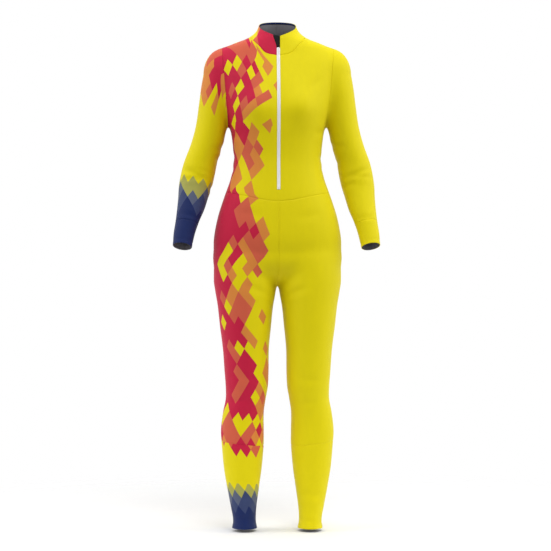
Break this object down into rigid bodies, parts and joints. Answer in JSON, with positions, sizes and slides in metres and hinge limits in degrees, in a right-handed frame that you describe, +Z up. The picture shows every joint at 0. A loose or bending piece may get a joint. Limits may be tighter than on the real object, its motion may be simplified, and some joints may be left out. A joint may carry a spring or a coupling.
{
  "type": "race suit",
  "caption": "One-piece stretch race suit, long sleeves and legs, stand-up collar and front zip, hollow and filled out as worn.",
  "frame": {"origin": "between the shoulders, inside the yoke, at the height of the middle of the shoulder seams, where the wearer's shoulders carry the suit", "axes": "+Z up, the front faces -Y, +X towards the wearer's left"},
  "size_m": [0.5714, 0.2275, 1.409],
  "materials": {
    "printed_cloth": "matte stretch knit, printed in crimson, tan and yellow lozenges",
    "yellow_cloth": "matte stretch knit with a slight sheen",
    "crimson_cloth": "matte stretch knit",
    "navy_cloth": "matte stretch knit, printed in navy and slate lozenges",
    "zip_tape": "woven tape with a moulded coil",
    "guard_cloth": "soft brushed knit"
  },
  "bodies": {
    "root": {"front_right": "printed_cloth", "front_left": "yellow_cloth", "back": "yellow_cloth", "sleeve_right": "printed_cloth", "sleeve_left": "yellow_cloth", "cuff_right": "navy_cloth", "cuff_left": "yellow_cloth", "leg_front_right": "printed_cloth", "leg_back_right": "printed_cloth", "leg_front_left": "yellow_cloth", "leg_back_left": "yellow_cloth", "ankle_right": "navy_cloth", "ankle_left": "yellow_cloth", "collar_right": "crimson_cloth", "collar_left": "yellow_cloth", "zip": "zip_tape", "zip_guard": "guard_cloth"}
  },
  "joints": []
}
